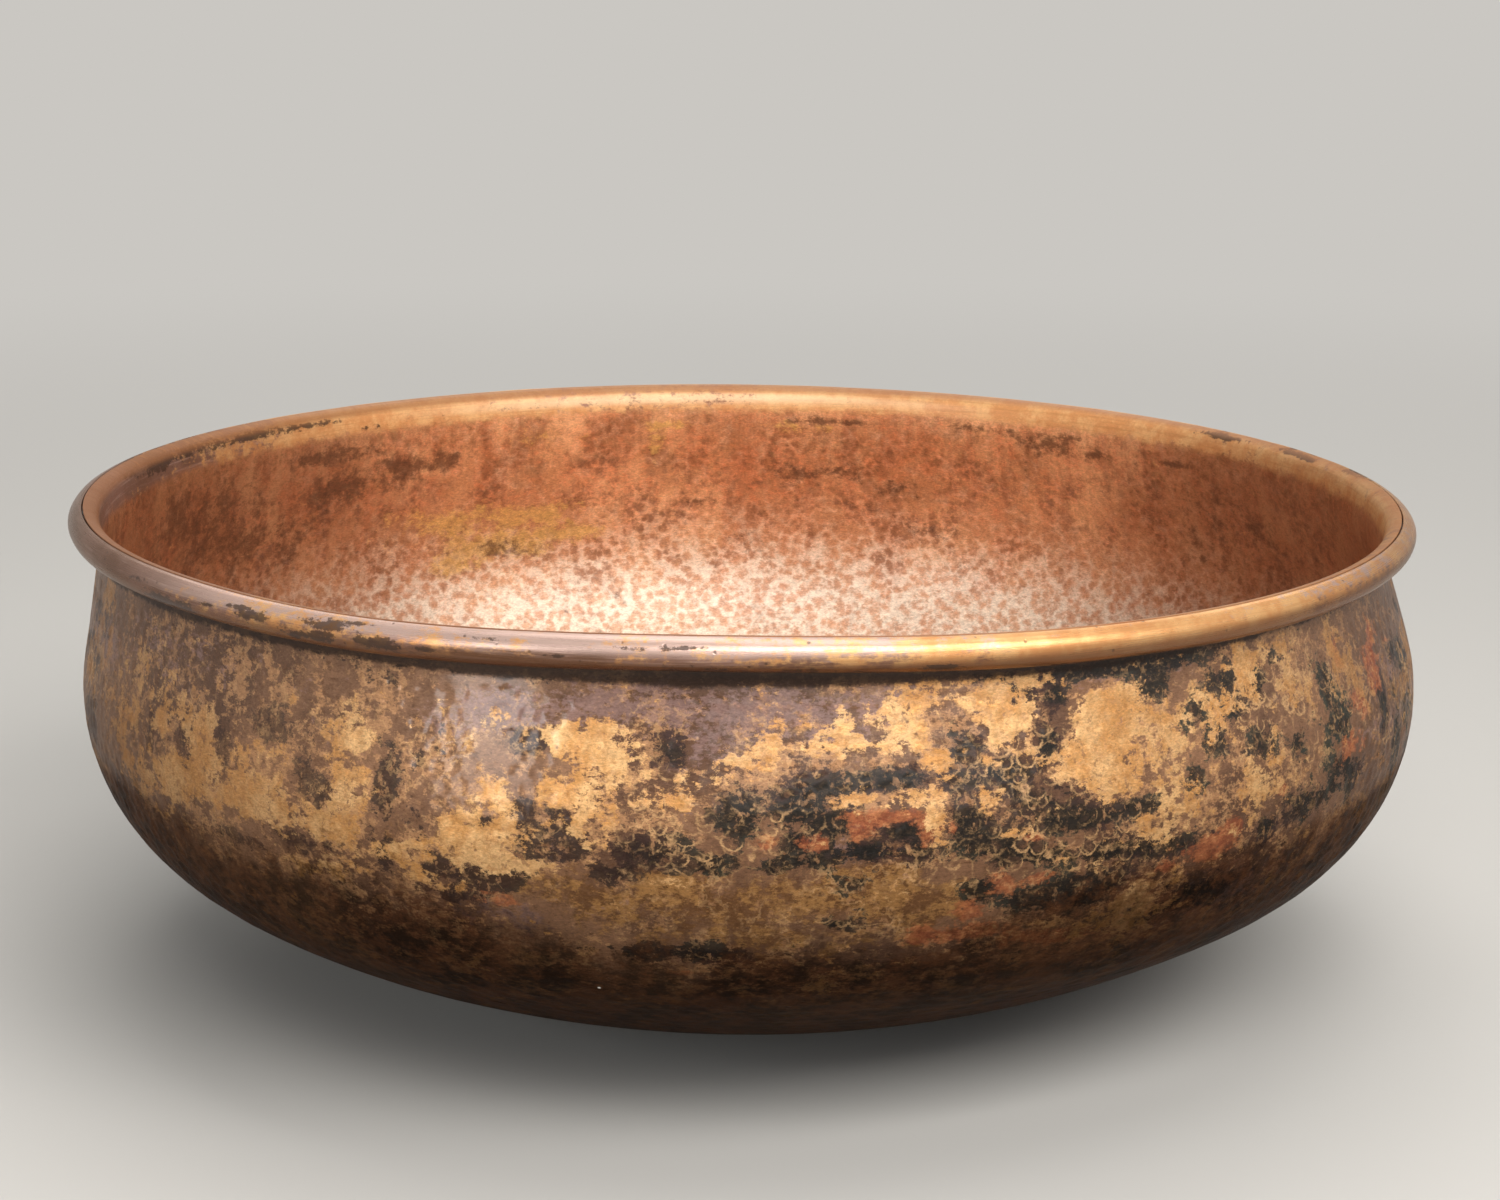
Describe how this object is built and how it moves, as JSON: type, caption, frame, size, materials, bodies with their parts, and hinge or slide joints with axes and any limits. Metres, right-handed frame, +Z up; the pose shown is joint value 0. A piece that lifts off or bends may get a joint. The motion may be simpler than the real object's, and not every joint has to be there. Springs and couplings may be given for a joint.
{
  "type": "bowl",
  "caption": "Wide hammered copper bowl: flat base, rounded belly, narrowed neck, and a flared lip closed with a copper strip round a wire as a thick round rim bead.",
  "frame": {"origin": "centre of the flat base, on the surface that the bowl stands on", "axes": "+Z up along the bowl's axis of revolution; +X and +Y are any two horizontal directions, and -Y faces the picture's camera"},
  "size_m": [0.4599, 0.46, 0.168],
  "materials": {
    "hammered_copper": "hammered copper with an aged brown, black-green and golden patina",
    "rim_copper": "smooth copper, worn golden on top, brown at one side",
    "iron_wire": "dark drawn iron wire, hidden inside the rim"
  },
  "bodies": {
    "root": {"bowl_shell": "hammered_copper", "rim_bead": "rim_copper", "rim_core": "iron_wire"}
  },
  "joints": []
}
